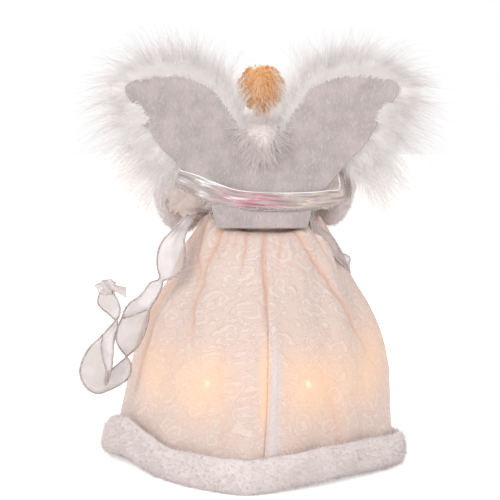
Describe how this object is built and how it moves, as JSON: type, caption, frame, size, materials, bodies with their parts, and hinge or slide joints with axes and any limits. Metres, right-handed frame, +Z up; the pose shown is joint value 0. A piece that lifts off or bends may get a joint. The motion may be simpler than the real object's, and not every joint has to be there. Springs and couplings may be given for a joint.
{
  "type": "lighted angel tree topper",
  "caption": "Lighted angel tree topper: a hollow cone with push-in lamps under a gathered brocade skirt with a plush hem, felt and feather wings and a sheer ribbon.",
  "frame": {"origin": "on the surface that the cone's rim stands on, on the cone's axis, in the middle of the figure", "axes": "+Z up along the cone's axis, the angel faces -Y, its wings and back face +Y, and its left hand is on +X"},
  "size_m": [0.2371, 0.2165, 0.2926],
  "materials": {
    "cone_plastic": "satin, translucent when lit",
    "socket_plastic": "satin",
    "lamp_glass": "clear, lit warm white",
    "wire_sleeve": "soft gloss",
    "brocade": "satin weave with raised glittery scrolls",
    "satin": "satin",
    "padding": "fibre wadding",
    "plush": "short dense plush pile",
    "feather": "soft down barbs",
    "card": "matte board",
    "felt": "brushed felt",
    "ribbon": "sheer and iridescent, with corded edges",
    "skin": "painted semi-gloss",
    "hair": "curled fibre",
    "arm_wire": "plain",
    "peg_wood": "plain"
  },
  "bodies": {
    "figure": {"inner_cone": "cone_plastic", "lamp_socket_01": "socket_plastic", "lamp_socket_02": "socket_plastic", "lamp_socket_03": "socket_plastic", "lamp_socket_04": "socket_plastic", "lamp_socket_05": "socket_plastic", "lamp_socket_06": "socket_plastic", "lamp_socket_07": "socket_plastic", "lamp_socket_08": "socket_plastic", "lamp_socket_09": "socket_plastic", "lamp_socket_10": "socket_plastic", "lead_gland": "socket_plastic", "lamp_wire": "wire_sleeve", "skirt": "brocade", "bodice": "brocade", "left_sleeve": "brocade", "right_sleeve": "brocade", "waist_band": "satin", "bodice_padding": "padding", "hem_fur": "plush", "left_cuff_fur": "plush", "right_cuff_fur": "plush", "left_wing_feathers": "feather", "right_wing_feathers": "feather", "feather_collar": "feather", "wing_card": "card", "wing_felt": "felt", "back_ribbon": "ribbon", "left_ribbon_tail": "ribbon", "ribbon_knot": "ribbon", "right_ribbon_tail": "ribbon", "head": "skin", "left_forearm": "skin", "right_forearm": "skin", "hair": "hair", "arm_wire": "arm_wire", "neck_plug": "peg_wood"},
    "lamp_01_body": {"lamp_01": "lamp_glass"},
    "lamp_02_body": {"lamp_02": "lamp_glass"},
    "lamp_03_body": {"lamp_03": "lamp_glass"},
    "lamp_04_body": {"lamp_04": "lamp_glass"},
    "lamp_05_body": {"lamp_05": "lamp_glass"},
    "lamp_06_body": {"lamp_06": "lamp_glass"},
    "lamp_07_body": {"lamp_07": "lamp_glass"},
    "lamp_08_body": {"lamp_08": "lamp_glass"},
    "lamp_09_body": {"lamp_09": "lamp_glass"},
    "lamp_10_body": {"lamp_10": "lamp_glass"}
  },
  "joints": [
    {"name": "lamp_01_pull", "type": "slide", "parent": "figure", "child": "lamp_01_body", "axis": [0.8699, -0.4243, 0.2516], "range_m": [0, 0.007]},
    {"name": "lamp_02_pull", "type": "slide", "parent": "figure", "child": "lamp_02_body", "axis": [0.9672, -0.0338, 0.2516], "range_m": [0, 0.007]},
    {"name": "lamp_03_pull", "type": "slide", "parent": "figure", "child": "lamp_03_body", "axis": [0.8973, 0.3626, 0.2516], "range_m": [0, 0.007]},
    {"name": "lamp_04_pull", "type": "slide", "parent": "figure", "child": "lamp_04_body", "axis": [0.4243, 0.8699, 0.2516], "range_m": [0, 0.007]},
    {"name": "lamp_05_pull", "type": "slide", "parent": "figure", "child": "lamp_05_body", "axis": [-0.3626, 0.8973, 0.2516], "range_m": [0, 0.007]},
    {"name": "lamp_06_pull", "type": "slide", "parent": "figure", "child": "lamp_06_body", "axis": [-0.8699, 0.4243, 0.2516], "range_m": [0, 0.007]},
    {"name": "lamp_07_pull", "type": "slide", "parent": "figure", "child": "lamp_07_body", "axis": [-0.9672, 0.0338, 0.2516], "range_m": [0, 0.007]},
    {"name": "lamp_08_pull", "type": "slide", "parent": "figure", "child": "lamp_08_body", "axis": [-0.8973, -0.3626, 0.2516], "range_m": [0, 0.007]},
    {"name": "lamp_09_pull", "type": "slide", "parent": "figure", "child": "lamp_09_body", "axis": [-0.4243, -0.8699, 0.2516], "range_m": [0, 0.007]},
    {"name": "lamp_10_pull", "type": "slide", "parent": "figure", "child": "lamp_10_body", "axis": [0.3626, -0.8973, 0.2516], "range_m": [0, 0.007]}
  ]
}
